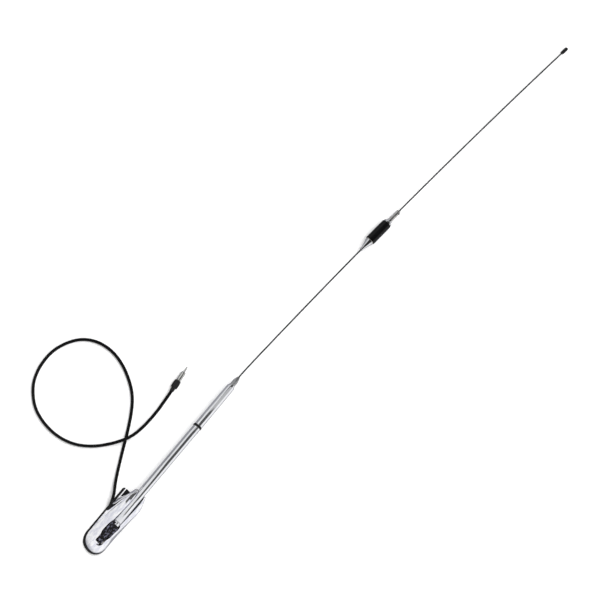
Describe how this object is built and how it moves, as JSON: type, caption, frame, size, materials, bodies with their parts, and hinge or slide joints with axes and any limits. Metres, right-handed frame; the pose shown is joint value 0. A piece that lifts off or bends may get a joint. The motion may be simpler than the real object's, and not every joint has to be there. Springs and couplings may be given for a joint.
{
  "type": "motorcycle radio antenna",
  "caption": "Fold-down radio antenna for a motorcycle: chrome teardrop base, tube mast, loaded steel whip and a coaxial lead with a car aerial plug",
  "frame": {"origin": "middle of the mounting face, the underside of the rubber pad", "axes": "+Z points out of the mounting face towards the mast, +Y runs along the folded mast from the foot to the tip, +X is to the right of it"},
  "size_m": [0.4251, 1.3553, 0.03],
  "materials": {
    "pad_rubber": "moulded black rubber, matt",
    "plate_coating": "black powder coating on pressed steel",
    "cast_chrome": "polished chrome plating on a zinc die casting",
    "tube_chrome": "polished chrome plating on steel tube",
    "turned_chrome": "chrome plating on turned brass",
    "knuckle_black": "glossy black coating on a zinc die casting",
    "whip_steel": "drawn stainless spring steel",
    "bright_steel": "turned stainless steel",
    "screw_black": "blackened steel",
    "nickel": "bright nickel plating on brass",
    "ring_plastic": "black moulded plastic",
    "sleeve_plastic": "black extruded plastic sleeve",
    "cap_rubber": "black moulded cap",
    "nylon": "natural white nylon",
    "copper": "enamelled copper wire",
    "cable_jacket": "black PVC jacket with a soft shine",
    "boot_rubber": "black moulded strain relief",
    "plug_plastic": "black moulded plastic"
  },
  "bodies": {
    "foot": {"mounting_pad": "pad_rubber", "mounting_plate": "plate_coating", "plate_screw_1": "bright_steel", "plate_screw_2": "bright_steel", "plate_screw_3": "bright_steel", "plate_screw_4": "bright_steel", "pod_housing": "cast_chrome", "pivot_bush_left": "nylon", "pivot_bush_right": "nylon", "pivot_pin": "bright_steel", "pin_clip_left": "bright_steel", "pin_clip_right": "bright_steel", "lead_terminal": "nickel", "cable_boot": "boot_rubber", "coax_tail": "cable_jacket", "braid_ferrule": "nickel", "coax_core": "nylon", "coax_cable": "cable_jacket", "plug_tail": "plug_plastic", "plug_grip": "plug_plastic", "plug_barrel": "nickel", "plug_insulator": "nylon", "plug_pin": "nickel"},
    "mast": {"mast_knuckle": "knuckle_black", "friction_washer_left": "nylon", "friction_washer_right": "nylon", "lower_tube": "tube_chrome", "tube_joiner": "ring_plastic", "joint_ring": "ring_plastic", "upper_tube": "tube_chrome", "whip_ferrule": "bright_steel", "lower_whip": "whip_steel", "coil_cone": "turned_chrome", "coil_sleeve": "sleeve_plastic", "coil_former": "nylon", "coil_winding": "copper", "coil_cap": "turned_chrome", "tip_adapter": "nickel", "set_screw": "screw_black"},
    "tip": {"upper_whip": "whip_steel", "tip_cap": "cap_rubber"}
  },
  "joints": [
    {"name": "fold", "type": "hinge", "parent": "foot", "child": "mast", "pos_m": [0, -0.042, 0.0106], "axis": [1, 0, 0], "range_deg": [0, 90]},
    {"name": "tuning", "type": "slide", "parent": "mast", "child": "tip", "axis": [0.0975, 0.9951, -0.0189], "range_m": [-0.012, 0.008]}
  ]
}
